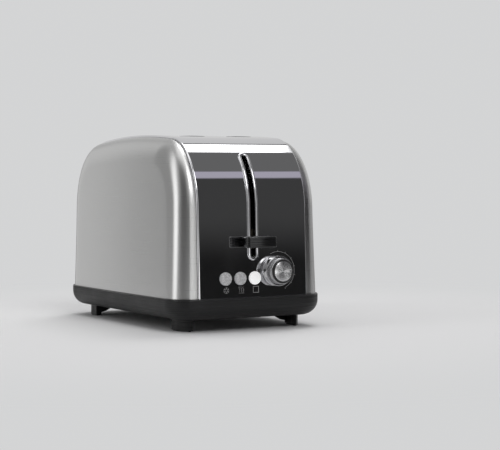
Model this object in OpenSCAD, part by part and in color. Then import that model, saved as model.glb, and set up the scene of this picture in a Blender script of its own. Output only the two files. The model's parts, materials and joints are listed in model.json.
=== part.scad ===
// Two-slice pop-up toaster with brushed side shells and a polished wrap-around band.
// X is across the toaster, -Y is the lever end, +Z is up. Millimetres.

/* [Base] */
// Width over the plastic base rim
base_w = 170; // [168:1:174]
// Length over the plastic base rim
base_l = 288; // [286:1:296]
// Corner radius of the base seen from above
base_r = 30; // [27:1:32]
// Height of the top of the base rim
rim_z = 32; // [32:0.5:33]
// Height of the feet, up to the underside of the base
foot_h = 12; // [11:0.5:12.5]

/* [Body] */
// Height of the crown of the body
top_z = 195.8; // [194:0.2:198]
// Length over the polished band at its foot, front face to back face
band_l = 282; // [281:1:284]
// Width of the polished band
band_w = 122; // [122:1:124]
// Width over the two brushed shells at their foot
shell_w = 168.8; // [166:0.2:169]
// How far each end face leans in between its foot and the big corner
end_lean = 2.2; // [1:0.1:3]
// How far each brushed side leans in between its foot and the crown
shell_draft = 3.2; // [2:0.2:5]
// How far the band stands proud of the shells
band_proud = 2; // [1.5:0.5:2.5]
// Length of the big top corners along Y
corner_y = 60; // [58:1:64]
// Height of the big top corners
corner_z = 72; // [70:1:76]
// Half angle of the shallow arc over the top, degrees
crown_angle = 5.4; // [4:0.2:6]
// Wall of the sheet metal skins
skin = 0.8; // [0.7:0.1:1]

/* [Bread slots] */
// Length of a bread slot
slot_l = 142; // [136:1:144]
// Width of a bread slot
slot_w = 30; // [28:1:31]
// Distance of each slot's middle from the toaster's middle
slot_x = 27; // [27:0.5:28]

/* [Lever and carriage] */
// Height of the middle of the thumb lever, pressed down
lever_z = 88; // [87:0.5:89]
// Width of the thumb lever
lever_w = 33.5; // [32:0.5:38]
// Height of the thumb lever
lever_h = 11; // [10.5:0.5:12]
// How far the thumb lever reaches out from the front face
lever_out = 23; // [22:0.5:24]
// Width of the lever slot in the band
lever_slot_w = 5.4; // [5:0.1:6]
// Travel of the carriage from latched to popped up
travel = 76; // [70:1:77]

/* [Controls] */
// Radius of a push button
button_r = 6.45; // [6:0.05:6.8]
// Distance between the middles of two buttons
button_pitch = 16.35; // [15.5:0.05:17]
// Distance of the last button's middle to the right of the toaster's middle
button_end_x = 1.6; // [0:0.1:2]
// Height of the buttons' middles
button_z = 52; // [51:0.5:53]
// Radius of the browning knob where it is widest, next to the front face
knob_r = 15; // [14.5:0.5:15.5]
// How far the browning knob stands out from the front face
knob_out = 17; // [16:0.5:18]
// Distance of the knob's axis to the right of the middle
knob_x = 24.4; // [24.4:0.1:26]
// Height of the knob's axis
knob_z = 58.5; // [58:0.5:60]

/* [Hidden] */
$fn = 48;
eps = 0.01;
gap = 0.2;              // clearance between parts that only lie near each other
run = 0.08;             // radial clearance of a running fit
tray_out = 6;           // crumb tray handle, out from the base

// The toaster is shifted so that the whole object's box is centred on the origin.
front = -band_l / 2;    // foot of the band's outer front face
back = band_l / 2;
corner_n = 14;          // steps round a big corner
crown_n = 10;           // steps over the crown
corner_end = atan2(corner_z, corner_y * tan(crown_angle));
corner_mid_y = band_l / 2 - end_lean - corner_y;
crown_r = (corner_mid_y + corner_y * cos(corner_end)) / sin(crown_angle);
corner_mid_z = top_z - crown_r * (1 - cos(crown_angle)) - corner_z * sin(corner_end);

// How far the end faces have leant in at height z, and where the front face is there.
function lean(z) = end_lean * (z - rim_z) / (corner_mid_z - rim_z);
function panel(z) = front + lean(z);

lever_y = panel(lever_z);
button_y = panel(button_z);
knob_y = panel(knob_z);
shift_y = ((lever_out - lever_y) - (base_l / 2 + tray_out)) / 2;

// Base
base_t = 2.5;
edge_r = 15;            // round between the base's side and its underside
floor_z = foot_h + base_t;
shelf_t = 2.5;          // inward shelf on which band and shells stand
shelf_in = 13;
plate_z = rim_z + 1;    // underside of the chassis plate
plate_t = 1;
deck_z = plate_z + plate_t;
plate_w = 132;
plate_l = 260;
boss_x = 62.3;
boss_y = [-112, 0, 112];
boss_r = 3.8;
screw_r = 1.7;
screw_hole_r = 1.9;
screw_head_r = 3.2;
screw_head_h = 2;

// Crumb tray
tray_w = 96;
tray_front = -108;
tray_back = base_l / 2 - 1;
tray_z = floor_z + 1.6;
tray_h = 8;
tray_t = 0.8;
rail_x = 40;

// Feet
foot_x = 68;
foot_y = 128.5;
foot_r = 24;            // outer radius of the curved fin
foot_t = 6;             // thickness of the fin
foot_wide = 9.5;        // how far the fin reaches in along X
foot_long = 34;         // how far it reaches along Y
web_reach = 18;         // how far a foot's web reaches in under the base
web_t = 3;
pad_drop = 1;           // the pads stand this far below the feet
pad_in = 1.2;           // width of a foot's wall round its pad
pad_top = 4;

// Oven chamber
well_y = 7;             // middle of the slots along Y
cham_front = well_y - slot_l / 2 - 6;
cham_back = well_y + slot_l / 2 + 6;
end_t = 0.8;
end_w = 120;
end_top = 180;
card_z0 = 40;
card_z1 = 166;
card_x = 53.5;
card_t = 0.8;
reflector_x = 57;
guard_off = slot_w / 2 + 1.2;
guard_z0 = 39;
guard_z1 = 182;
wire_r = 0.9;
wire_n = 8;             // vertical wires in one guard
turns = 12;             // ribbon turns on one heater card
ribbon_w = 1.4;
ribbon_t = 0.3;

// Carriage
rack_z = 42;
rack_h = 7;
rack_t = 1.2;
prongs = 7;
carrier_y = cham_front - 8.5;     // front face of the carriage plate
carrier_t = 1.2;
slider_y0 = -97;
slider_w = 54;
slider_h = 20;
slider_z = lever_z - 9.5;
rod_x = 20;
rod_y = -89;
rod_r = 2;
rod_top = 182;
arm_t = 2;
arm_h = 7;
spring_x = -12;
spring_y = -101;
spring_r = 3.2;
spring_wire = 0.5;
spring_turns = 18;
hook_z = slider_z + 3;

// Controls
slot_bottom = lever_z - 15.3;     // lower end of the lever slot
slot_top = 173;
board_y = -122;
board_t = 1.6;
board_w = 88;
board_top = 74;
button_x = [for (i = [-2 : 0]) button_end_x + i * button_pitch];
button_out = 1.6;
button_deep = 5.4;      // a button's flange ends this far behind the panel
button_travel = 2;
button_flange = 0.7;
switch_y = board_y - 5.8;         // tip of a switch's plunger
shaft_r = 3;
knob_step = 8.5;        // length of the knob's widest stretch
knob_rim_r = knob_r - 3;          // the ring round its face
knob_core_r = knob_r - 4;
knob_cap_r = knob_r - 5.2;
gland_x = -40;
gland_z = 46;
gland_bore_r = 3.4;
gland_flange_r = 8;
gland_clip_y = back - lean(gland_z + gland_flange_r) - skin - 0.1;

// ---- the body's outline seen from the side ----

function reversed(list) = [for (i = [len(list) - 1 : -1 : 0]) list[i]];

// Points [y, z] from the front foot over the top to the back foot, inset by e.
function outline(e, foot_z = rim_z) =
    let (
        ry = corner_y - e,
        rz = corner_z - e,
        last = atan2(rz, ry * tan(crown_angle)),
        join_y = corner_mid_y + ry * cos(last),
        half = asin(join_y / (crown_r - e)),
        rise = [for (i = [0 : corner_n]) let (a = last * i / corner_n)
            [-(corner_mid_y + ry * cos(a)), corner_mid_z + rz * sin(a)]],
        crown = [for (i = [1 : crown_n - 1]) let (a = half * (2 * i / crown_n - 1))
            [(crown_r - e) * sin(a), top_z - crown_r + (crown_r - e) * cos(a)]],
        fall = [for (p = reversed(rise)) [-p[0], p[1]]]
    )
    concat([[-(corner_mid_y + ry + end_lean), foot_z]], rise, crown, fall,
        [[corner_mid_y + ry + end_lean, foot_z]]);

// ---- helpers ----

module framed() translate([0, shift_y, 0]) children();

// Extrudes a [y, z] shape along X between x0 and x1.
module along_x(x0, x1) translate([x0, 0, 0]) rotate([90, 0, 90]) linear_extrude(x1 - x0) children();

// Extrudes an [x, z] shape along Y between y0 and y1.
module along_y(y0, y1) translate([0, y1, 0]) rotate([90, 0, 0]) linear_extrude(y1 - y0) children();

module block(lo, hi) translate(lo) cube(hi - lo);

module bar_z(x, y, z0, z1, r) translate([x, y, z0]) cylinder(r = r, h = z1 - z0);

module bar_y(x, z, y0, y1, r) translate([x, y0, z]) rotate([-90, 0, 0]) cylinder(r = r, h = y1 - y0);

module skin_2d(outer, inner) difference() {
    polygon(outline(outer));
    polygon(outline(inner, rim_z - 1));
}

module round_rect(w, l, r) {
    square([w - 2 * r, l], center = true);
    if (l > 2 * r) square([w, l - 2 * r], center = true);
    for (x = [-1, 1], y = [-1, 1]) translate([x * (w / 2 - r), y * (l / 2 - r)]) circle(r);
}

module stadium(w, z0, z1) {
    translate([-w / 2, z0 + w / 2]) square([w, z1 - z0 - w]);
    for (z = [z0 + w / 2, z1 - w / 2]) translate([0, z]) circle(w / 2);
}

// A rounded block whose lower edge is a quarter round of radius e.
module soft_block(w, l, r, z0, z1, e) {
    arc = [for (i = [0 : 8]) let (a = i * 90 / 8) [e * sin(a) - e, z0 + e - e * cos(a)]];
    wx = w / 2 - r;
    ly = l / 2 - r;
    section = concat([[-r, z1], [-r, z0]], arc, [[0, z1]]);
    for (k = [0 : 3]) {
        x = k == 0 || k == 3 ? wx : -wx;
        y = k < 2 ? ly : -ly;
        translate([x, y, 0]) rotate(90 * k) rotate_extrude(angle = 90)
            polygon([for (p = section) [p[0] + r, p[1]]]);
    }
    for (s = [0, 180]) {
        rotate(s) along_x(-wx, wx) polygon([for (p = section) [p[0] + l / 2, p[1]]]);
        rotate(s) rotate(-90) along_x(-ly, ly) polygon([for (p = section) [p[0] + w / 2, p[1]]]);
    }
    block([-wx, -ly, z0], [wx, ly, z1]);
}

// A round tube of radius r swept along the points of a route that is nowhere vertical.
module tube(route, r, sides = 8) {
    last = len(route) - 1;
    rings = [for (i = [0 : last])
        let (
            t = route[min(i + 1, last)] - route[max(i - 1, 0)],
            d = t / norm(t),
            s = cross(d, [0, 0, 1]) / norm(cross(d, [0, 0, 1])),
            u = cross(s, d)
        )
        for (k = [0 : sides - 1]) route[i] + r * (cos(360 * k / sides) * s + sin(360 * k / sides) * u)];
    walls = [for (i = [0 : last - 1], k = [0 : sides - 1])
        let (a = i * sides + k, b = i * sides + (k + 1) % sides)
        each [[a, b, a + sides], [b, b + sides, a + sides]]];
    polyhedron(rings, concat(walls,
        [[for (k = [sides - 1 : -1 : 0]) k]], [[for (k = [0 : sides - 1]) last * sides + k]]));
}

// ---- outer covers ----

shell_rings = 8;
shell_roll = 26;        // how far the shell's rolled edge reaches in from its outline

// Half of the pair: a pillow shaped steel pressing, open towards the band and the base.
module shell_solid() {
    inner_x = band_w / 2 + gap;
    deep = shell_w / 2 - inner_x;
    function draft(z) = shell_draft * (1 - pow((top_z - z) / (top_z - rim_z), 2));
    function ring(a, t) = [for (p = outline(band_proud + t + (shell_roll - t) * (1 - cos(a))))
        [inner_x + (deep - t - draft(p[1])) * sin(a), p[0], p[1]]];
    m = len(outline(0));
    outer = [for (k = [0 : shell_rings]) each ring(90 * k / shell_rings, 0)];
    inner = [for (k = [0 : shell_rings]) each ring(90 * k / shell_rings, skin)];
    o = len(outer);
    end = shell_rings * m;
    skins = [for (k = [0 : shell_rings - 1], i = [0 : m - 2])
        let (a = k * m + i, b = a + m)
        each [[a, a + 1, b], [a + 1, b + 1, b], [o + b, o + a + 1, o + a], [o + b, o + b + 1, o + a + 1]]];
    seam = [for (i = [0 : m - 2]) each [[o + i, i + 1, i], [o + i, o + i + 1, i + 1]]];
    feet = [for (k = [0 : shell_rings - 1], side = [0, 1])
        let (a = k * m + side * (m - 1), b = a + m)
        each side == 0 ? [[a, b, o + b], [a, o + b, o + a]] : [[b, a, o + b], [o + b, a, o + a]]];
    caps = [[for (i = [0 : m - 1]) end + i], [for (i = [m - 1 : -1 : 0]) o + end + i],
        [end, end + m - 1, o + end + m - 1, o + end]];
    polyhedron(concat(outer, inner), concat(skins, seam, feet, caps));
}

module left_shell() framed() color("silver") mirror([1, 0, 0]) shell_solid();
module right_shell() framed() color("silver") shell_solid();

module bread_slot_2d(grow) round_rect(slot_w + 2 * grow, slot_l + 2 * grow, 5 + grow);

rim_depth = 9;

module chrome_band() framed() color("gainsboro") difference() {
    union() {
        along_x(-band_w / 2, band_w / 2) skin_2d(0, skin);
        for (s = [-1, 1]) along_x(s * band_w / 2 - (s > 0 ? skin : 0), s * band_w / 2 + (s > 0 ? 0 : skin))
            skin_2d(0, 5);
        intersection() {
            for (s = [-1, 1]) translate([s * slot_x, well_y, top_z - rim_depth])
                linear_extrude(rim_depth + 1) bread_slot_2d(skin);
            along_x(-band_w / 2, band_w / 2) polygon(outline(0));
        }
        intersection() {
            along_y(front - 1, front + 50)
                stadium(lever_slot_w + 2 * skin, slot_bottom - skin, slot_top + skin);
            along_x(-10, 10) skin_2d(0, 5);
        }
    }
    for (s = [-1, 1]) translate([s * slot_x, well_y, top_z - rim_depth - 1])
        linear_extrude(rim_depth + 3) bread_slot_2d(0);
    along_y(front - 1, front + 52) stadium(lever_slot_w, slot_bottom, slot_top);
    for (x = button_x) bar_y(x, button_z, front - 1, button_y + 2, button_r + gap);
    bar_y(knob_x, knob_z, front - 1, knob_y + 2, shaft_r + 1.5);
    bar_y(gland_x, gland_z, back - 2, back + 1, 6);
}

// ---- base, tray and feet ----

vent_n = 9;
vent_pitch = 14;
vent_x = 22;
vent_l = 26;
vent_w = 4;

module base() framed() color("#1c1c1e") difference() {
    union() {
        difference() {
            soft_block(base_w, base_l, base_r, foot_h, rim_z, edge_r);
            soft_block(base_w - 2 * base_t, base_l - 2 * base_t, base_r - base_t,
                floor_z, rim_z - shelf_t, edge_r - base_t);
            translate([0, 0, rim_z - shelf_t - 1]) linear_extrude(shelf_t + 2)
                round_rect(base_w - 2 * shelf_in, base_l - 2 * shelf_in, base_r - shelf_in);
        }
        for (s = [-1, 1]) {
            for (y = boss_y) bar_z(s * boss_x, y, floor_z - 1, plate_z, boss_r);
            block([s * rail_x - 1.5, tray_front - 4, floor_z - 1],
                [s * rail_x + 1.5, base_l / 2 - 16, tray_z]);
        }
    }
    block([-tray_w / 2 - 1, base_l / 2 - 20, tray_z - 0.5],
        [tray_w / 2 + 1, base_l / 2 + 1, tray_z + tray_h + 0.6]);
    for (s = [-1, 1], y = boss_y) {
        bar_z(s * boss_x, y, foot_h - 1, plate_z + 1, screw_hole_r);
        bar_z(s * boss_x, y, foot_h - 1, foot_h + screw_head_h + 0.4, screw_head_r + 0.3);
    }
    for (s = [-1, 1], i = [0 : vent_n - 1])
        translate([s * vent_x, (i - (vent_n - 1) / 2) * vent_pitch, foot_h - 1])
            linear_extrude(base_t + 2) round_rect(vent_l, vent_w, vent_w / 2);
}

module crumb_tray() framed() color("lightgrey") difference() {
    block([-tray_w / 2, tray_front, tray_z], [tray_w / 2, tray_back, tray_z + tray_h]);
    block([-tray_w / 2 + tray_t, tray_front + tray_t, tray_z + tray_t],
        [tray_w / 2 - tray_t, tray_back - tray_t, tray_z + tray_h + 1]);
}

// The pull of the crumb tray, a bar with a rounded lower edge and a finger groove under it.
module tray_handle() framed() color("#1c1c1e") {
    handle_w = tray_w + 8;
    y0 = base_l / 2 + gap;
    y1 = base_l / 2 + tray_out;
    z0 = tray_z - 1;
    z1 = tray_z + tray_h + 2;
    difference() {
        along_x(-handle_w / 2, handle_w / 2) intersection() {
            union() {
                translate([y0, z0 + 4]) square([y1 - y0, z1 - z0 - 6]);
                translate([y0, z0]) square([y1 - y0 - 4, z1 - z0]);
                translate([y1 - 4, z0 + 4]) circle(4);
                translate([y1 - 4, z1 - 2]) square([2, 2]);
                translate([y1 - 2, z1 - 2]) circle(2);
            }
            translate([y0, z0]) square([y1 - y0, z1 - z0]);
        }
        along_x(-22, 22) translate([y0 + 2.5, z0 - 1]) circle(2.6);
    }
    block([-tray_w / 2 + 2, tray_back, tray_z + 0.8], [tray_w / 2 - 2, y0, tray_z + tray_h - 0.6]);
}

// A foot seen from above, for the front left corner: a fin that follows the base's corner.
module foot_2d(e) intersection() {
    difference() {
        round_rect(2 * (foot_x - e), 2 * (foot_y - e), foot_r - e);
        round_rect(2 * (foot_x - foot_t + e), 2 * (foot_y - foot_t + e), foot_r - foot_t + e);
    }
    translate([-foot_x + e, -foot_y + e]) square([foot_wide - 2 * e, foot_long - 2 * e]);
}

// The fin with its recess for the pad, and a web inwards round which the cord is wound.
module foot_solid() {
    difference() {
        translate([0, 0, pad_drop]) linear_extrude(foot_h - pad_drop) foot_2d(0);
        translate([0, 0, -1]) linear_extrude(pad_top + 1) foot_2d(pad_in);
    }
    web_x = -foot_x + foot_t - eps;
    web_y = -foot_y + foot_long - web_t - 1;
    along_y(web_y, web_y + web_t) translate([web_x, foot_h]) polygon([[0, 0], [0, -8.5],
        [web_reach * 0.35, -7], [web_reach * 0.75, -3.2], [web_reach, -0.8], [web_reach, 0]]);
}

module foot_at(mx, my) framed() color("#161617") mirror([mx, 0, 0]) mirror([0, my, 0]) foot_solid();
module foot_front_left() foot_at(0, 0);
module foot_front_right() foot_at(1, 0);
module foot_rear_left() foot_at(0, 1);
module foot_rear_right() foot_at(1, 1);

module foot_pads() framed() color("#202020") for (mx = [0, 1], my = [0, 1])
    mirror([mx, 0, 0]) mirror([0, my, 0]) linear_extrude(pad_top) foot_2d(pad_in + gap / 2);

module screw(x, y, z0, z1) {
    difference() {
        bar_z(x, y, z0, z0 + screw_head_h, screw_head_r);
        block([x - 2.2, y - 0.4, z0 - 1], [x + 2.2, y + 0.4, z0 + 1]);
        block([x - 0.4, y - 2.2, z0 - 1], [x + 0.4, y + 2.2, z0 + 1]);
    }
    bar_z(x, y, z0 + screw_head_h - eps, z1, screw_r);
}

module base_screws() framed() color("grey") for (s = [-1, 1], y = boss_y)
    screw(s * boss_x, y, foot_h + 0.4, deck_z + 3);

// ---- chassis and oven ----

module chassis_plate() framed() color("lightsteelblue") difference() {
    block([-plate_w / 2, -plate_l / 2, plate_z], [plate_w / 2, plate_l / 2, deck_z]);
    block([-card_x - 2.5, cham_front + 3, plate_z - 1], [card_x + 2.5, cham_back - 3, deck_z + 1]);
    for (s = [-1, 1], y = boss_y) bar_z(s * boss_x, y, plate_z - 1, deck_z + 1, screw_hole_r);
}

rib_z = 139;            // pressed stiffening rib across the end plates

// Upright sheet between the chassis and the crown. Its foot flange and its rib point to the side out.
module end_plate(y, out) {
    y0 = out < 0 ? y : y + end_t;
    module ledge(half, deep, z0, z1) block([-half, min(y0, y0 + out * deep), z0],
        [half, max(y0, y0 + out * deep), z1]);
    difference() {
        union() {
            block([-end_w / 2, y, deck_z], [end_w / 2, y + end_t, end_top]);
            ledge(end_w / 2, 8, deck_z, deck_z + 1);
            ledge(end_w / 2 - 6, 1.4, rib_z - 1.2, rib_z + 1.2);
        }
        for (s = [-1, 1]) block([s * slot_x - 2, y - 3, rack_z - 3],
            [s * slot_x + 2, y + end_t + 3, rack_z + rack_h + travel + 4]);
    }
}

module front_end_plate() framed() color("silver") end_plate(cham_front - end_t, -1);
module rear_end_plate() framed() color("silver") end_plate(cham_back, 1);

module reflector(s) framed() color("silver") {
    x0 = s > 0 ? reflector_x : -reflector_x - 0.6;
    block([x0, cham_front, deck_z], [x0 + 0.6, cham_back, end_top - 2]);
    for (i = [0 : 2]) block([s > 0 ? x0 + 0.6 - eps : x0 - 1, cham_front + 10, 60 + 40 * i],
        [s > 0 ? x0 + 1.6 : x0 + eps, cham_back - 10, 62 + 40 * i]);
}
module reflector_left() reflector(-1);
module reflector_right() reflector(1);

// A mica card whose ears reach the two end plates.
module mica(x) framed() color("burlywood") {
    block([x - card_t / 2, cham_front + 3, card_z0], [x + card_t / 2, cham_back - 3, card_z1]);
    for (z = [card_z0 + 3, card_z1 - 13])
        block([x - card_t / 2, cham_front, z], [x + card_t / 2, cham_back, z + 8]);
}
module mica_left() mica(-card_x);
module mica_centre() mica(0);
module mica_right() mica(card_x);

ribbon_pitch = (card_z1 - card_z0 - 40) / (turns - 1);

// Flat heating ribbon: closed turns round the card, one above the other.
module heating_ribbon(x) framed() color("dimgray") for (i = [0 : turns - 1])
    translate([0, 0, card_z0 + 19 + i * ribbon_pitch]) difference() {
        inner = card_t / 2 + 0.05;
        outer = inner + ribbon_t;
        end = 2.95;
        block([x - outer, cham_front + end - ribbon_t, 0], [x + outer, cham_back - end + ribbon_t, ribbon_w]);
        block([x - inner, cham_front + end, -1], [x + inner, cham_back - end, ribbon_w + 1]);
    }
module heating_ribbon_left() heating_ribbon(-card_x);
module heating_ribbon_centre() heating_ribbon(0);
module heating_ribbon_right() heating_ribbon(card_x);

// A welded wire guard beside a slice. The rails lie on the side away from the bread.
module guard(x, away) framed() color("silver") {
    first = cham_front + 7;
    step = (cham_back - cham_front - 14) / (wire_n - 1);
    for (i = [0 : wire_n - 1]) bar_z(x, first + i * step, guard_z0, guard_z1, wire_r);
    for (z = [guard_z0 + 6, guard_z1 - 9]) bar_y(x + away * 1.4, z, cham_front, cham_back, 1);
}
module guard_left_outer() guard(-slot_x - guard_off, -1);
module guard_left_inner() guard(-slot_x + guard_off, 1);
module guard_right_inner() guard(slot_x - guard_off, -1);
module guard_right_outer() guard(slot_x + guard_off, 1);

// ---- carriage ----

module guide_rod(x) framed() color("silver") bar_z(x, rod_y, deck_z, rod_top, rod_r);
module guide_rod_left() guide_rod(-rod_x);
module guide_rod_right() guide_rod(rod_x);

module rod_bracket() framed() color("lightsteelblue") {
    y1 = cham_front - end_t;
    difference() {
        block([-26, spring_y - 4, end_top - 0.2], [26, y1, end_top + 1]);
        for (s = [-1, 1]) bar_z(s * rod_x, rod_y, end_top - 2, end_top + 2, rod_r + run);
    }
    block([-26, y1 - 1.2, end_top - 12], [26, y1, end_top]);
    bar_z(spring_x, spring_y, end_top - 3, end_top, 1);
}

module carriage_slider() framed() color("#e8e4da") {
    y1 = carrier_y;
    difference() {
        block([-slider_w / 2, slider_y0, slider_z], [slider_w / 2, y1, slider_z + slider_h]);
        for (s = [-1, 1]) bar_z(s * rod_x, rod_y, slider_z - 1, slider_z + slider_h + 1, rod_r + run);
    }
    bar_y(spring_x, hook_z, spring_y - 4, slider_y0 + eps, 1.5);
    block([-slider_w / 2 - 6, slider_y0, slider_z], [-slider_w / 2 + eps, slider_y0 + 8, slider_z + 6]);
}

module carriage_plate() framed() color("silver") along_y(carrier_y, carrier_y + carrier_t) {
    translate([-32, rack_z - 2]) square([64, 18]);
    translate([-12, rack_z + 15]) square([24, slider_z + slider_h - rack_z - 15]);
}

module bread_rack(s) framed() color("silver") {
    y0 = carrier_y + carrier_t;
    x = s * slot_x;
    top = rack_z + rack_h;
    block([x - rack_t / 2, y0, rack_z], [x + rack_t / 2, cham_back + end_t + 4, top]);
    for (i = [0 : prongs - 1]) {
        y = cham_front + 10 + i * (cham_back - cham_front - 20) / (prongs - 1);
        block([x - 12, y - 1, top - rack_t], [x + 12, y + 1, top + eps]);
    }
}
module bread_rack_left() bread_rack(-1);
module bread_rack_right() bread_rack(1);

arm_end = lever_y - lever_out + 5;

module lever_arm() framed() color("dimgray")
    block([-arm_t / 2, arm_end, lever_z - arm_h / 2], [arm_t / 2, slider_y0, lever_z + arm_h / 2]);

lever_gap = 13;         // the broad part of the lever ends this far in front of the panel
lever_back = lever_y - lever_gap;
lever_bow = 45;         // radius of the lever's bowed front
lever_end_r = 4.2;      // round of its two ends

// The lever seen from above, inset by e.
module lever_plan(e) intersection() {
    depth = lever_out - lever_gap - 2 * e;
    translate([0, lever_back - e - depth / 2]) round_rect(lever_w - 2 * e, depth, lever_end_r - e);
    translate([0, lever_y - lever_out + lever_bow]) circle(lever_bow - e, $fn = 120);
}

module lever_knob() framed() color("#18181a") difference() {
    z0 = lever_z - lever_h / 2;
    union() {
        translate([0, 0, z0]) linear_extrude(lever_h) lever_plan(0);
        block([-4, lever_back - 1, lever_z - 4.5], [4, lever_y - 2, lever_z + 4.5]);
    }
    for (i = [-1 : 1]) translate([0, 0, lever_z + 2.4 * i - 0.4]) difference() {
        linear_extrude(0.8) translate([-lever_w, lever_y - lever_out - 1]) square([2 * lever_w, 8]);
        translate([0, 0, -1]) linear_extrude(3) lever_plan(0.6);
    }
    block([-arm_t / 2, arm_end, lever_z - arm_h / 2], [arm_t / 2, front + 3, lever_z + arm_h / 2]);
}

magnet_top = slider_z - 6;

module armature() framed() color("silver") {
    block([-12, rod_y - 5, magnet_top + gap], [12, rod_y + 5, magnet_top + gap + 2]);
    bar_z(0, rod_y, magnet_top + gap + 2 - eps, slider_z, 3);
}

// Extension spring between the slider's peg and the bracket over the rods.
module return_spring() framed() color("gray") {
    z0 = hook_z + 2.2;
    z1 = end_top - 3.4;
    seg = 12;
    sides = 6;
    steps = spring_turns * seg;
    rings = [for (i = [0 : steps])
        let (a = 360 * i / seg, z = z0 + (z1 - z0) * i / steps)
        for (k = [0 : sides - 1]) let (b = 360 * k / sides, r = spring_r + spring_wire * cos(b))
            [spring_x + r * cos(a), spring_y + r * sin(a), z + spring_wire * sin(b)]];
    walls = [for (i = [0 : steps - 1], k = [0 : sides - 1])
        let (a = i * sides + k, b = i * sides + (k + 1) % sides)
        each [[a, a + sides, b], [b, a + sides, b + sides]]];
    polyhedron(rings, concat(walls,
        [[for (k = [0 : sides - 1]) k]], [[for (k = [sides - 1 : -1 : 0]) steps * sides + k]]));
}

// ---- electromagnet and electronics ----

module magnet_core() framed() color("gray") {
    block([-11, rod_y - 4, 44], [11, rod_y + 4, 48]);
    for (x = [[-11, -8], [-3, 3], [8, 11]]) block([x[0], rod_y - 4, 48 - eps], [x[1], rod_y + 4, magnet_top]);
}

module magnet_coil() framed() color("peru") difference() {
    block([-7.7, rod_y - 7.5, 49], [7.7, rod_y + 7, magnet_top - 3]);
    block([-3.2, rod_y - 4.2, 48], [3.2, rod_y + 4.2, magnet_top]);
}

module magnet_stand() framed() color("lightsteelblue") {
    block([-11, rod_y - 5, deck_z], [11, rod_y + 5, 44]);
}

module control_board() framed() color("darkgreen") difference() {
    block([-board_w / 2, board_y, deck_z], [board_w / 2, board_y + board_t, board_top]);
    for (s = [-1, 1]) bar_y(s * 38, deck_z + 5, board_y - 1, board_y + board_t + 1, 1.7);
}

module board_brackets() framed() color("lightsteelblue") for (s = [-1, 1]) difference() {
    union() {
        block([s * 38 - 5, board_y + board_t, deck_z], [s * 38 + 5, board_y + board_t + 1, deck_z + 9]);
        block([s * 38 - 5, board_y + board_t, deck_z], [s * 38 + 5, board_y + board_t + 10, deck_z + 1]);
    }
    bar_y(s * 38, deck_z + 5, board_y, board_y + board_t + 2, 1.7);
}

module board_screws() framed() color("grey") for (s = [-1, 1]) {
    bar_y(s * 38, deck_z + 5, board_y - 2, board_y, 2.8);
    bar_y(s * 38, deck_z + 5, board_y - eps, board_y + board_t + 4, 1.5);
}

// Parts soldered to the back of the board: capacitors, a relay, a resistor and the contact holder.
module board_components() framed() color("#2b3a55") {
    y0 = board_y + board_t;
    bar_y(16, 60, y0, y0 + 12, 5);
    bar_y(29, 60, y0, y0 + 9, 3.5);
    block([8, y0, 40], [22, y0 + 10, 52]);
    bar_y(-12, 46, y0, y0 + 3, 2);
    block([-22, y0, 56], [-16, y0 + 4, 62]);
    block([-34, y0, 66], [-27.5, y0 + 8, board_top]);
}

module tact_switches() framed() color("#222222") for (x = button_x) {
    block([x - 3, board_y - 4, button_z - 3], [x + 3, board_y, button_z + 3]);
    bar_y(x, button_z, switch_y, board_y - 4 + eps, 1.7);
}

// Two brass leaves that the slider's finger presses together when the carriage is down.
module mains_contacts() framed() color("goldenrod") {
    y0 = board_y + board_t + 8;
    for (z = [slider_z - 0.5, slider_z - 5]) {
        block([-33, y0, z], [-28.5, slider_y0 + 6, z + 0.4]);
        block([-33, y0, board_top - 6], [-28.5, y0 + 0.4, z + 0.4]);
    }
    block([-32, slider_y0 + 2, slider_z - 4.6 - eps], [-29.5, slider_y0 + 4.5, slider_z - 3]);
}

module potentiometer() framed() color("#5b6d84") difference() {
    union() {
        block([knob_x - 8, board_y - 7, knob_z - 8], [knob_x + 8, board_y, knob_z + 8]);
        bar_y(knob_x, knob_z, board_y - 12, board_y - 7 + eps, 4.5);
    }
    bar_y(knob_x, knob_z, board_y - 13, board_y - 2, shaft_r + run);
}

// ---- browning knob ----

module knob_shaft() framed() color("silver") bar_y(knob_x, knob_z, knob_y - 8, board_y - 3, shaft_r);

knob_face = knob_y - knob_out;
knob_foot = knob_y - 0.8;

module knob_core() framed() color("#141414") difference() {
    union() {
        bar_y(knob_x, knob_z, knob_face, knob_foot, knob_core_r - 0.05);
        bar_y(knob_x, knob_z, knob_face, knob_face + 1.8, knob_rim_r);
    }
    bar_y(knob_x, knob_z, knob_face - 1, knob_face + 1.2, knob_cap_r + 0.1);
    bar_y(knob_x, knob_z, knob_y - 8, knob_y, shaft_r + 0.05);
}

module knob_barrel() framed() color("gainsboro") difference() {
    union() {
        bar_y(knob_x, knob_z, knob_foot - knob_step, knob_foot, knob_r);
        bar_y(knob_x, knob_z, knob_face + 1.8, knob_foot - knob_step + eps, knob_r - 1.8);
    }
    bar_y(knob_x, knob_z, knob_face, knob_y, knob_core_r);
}

module knob_cap() framed() color("silver")
    bar_y(knob_x, knob_z, knob_face - 0.3, knob_face + 1.2, knob_cap_r);

// ---- push buttons ----

module button(x) {
    rear = button_y + button_deep;
    bar_y(x, button_z, button_y - button_out, rear, button_r);
    bar_y(x, button_z, rear - 1.2, rear, button_r + button_flange);
    bar_y(x, button_z, rear - eps, switch_y - button_travel - 0.1, 2);
}
module defrost_button() framed() color("silver") button(button_x[0]);
module reheat_button() framed() color("silver") button(button_x[1]);
module cancel_button() framed() color("white") button(button_x[2]);

guide_h = 10;           // half height of the buttons' guide

module button_guide() framed() color("#202020") difference() {
    block([button_x[0] - 12, panel(button_z + guide_h) + skin + 0.1, button_z - guide_h],
        [button_x[2] + 12, button_y + button_deep - 1.3, button_z + guide_h]);
    for (x = button_x) bar_y(x, button_z, front, button_y + button_deep, button_r + gap);
}

// ---- mains entry ----

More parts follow.
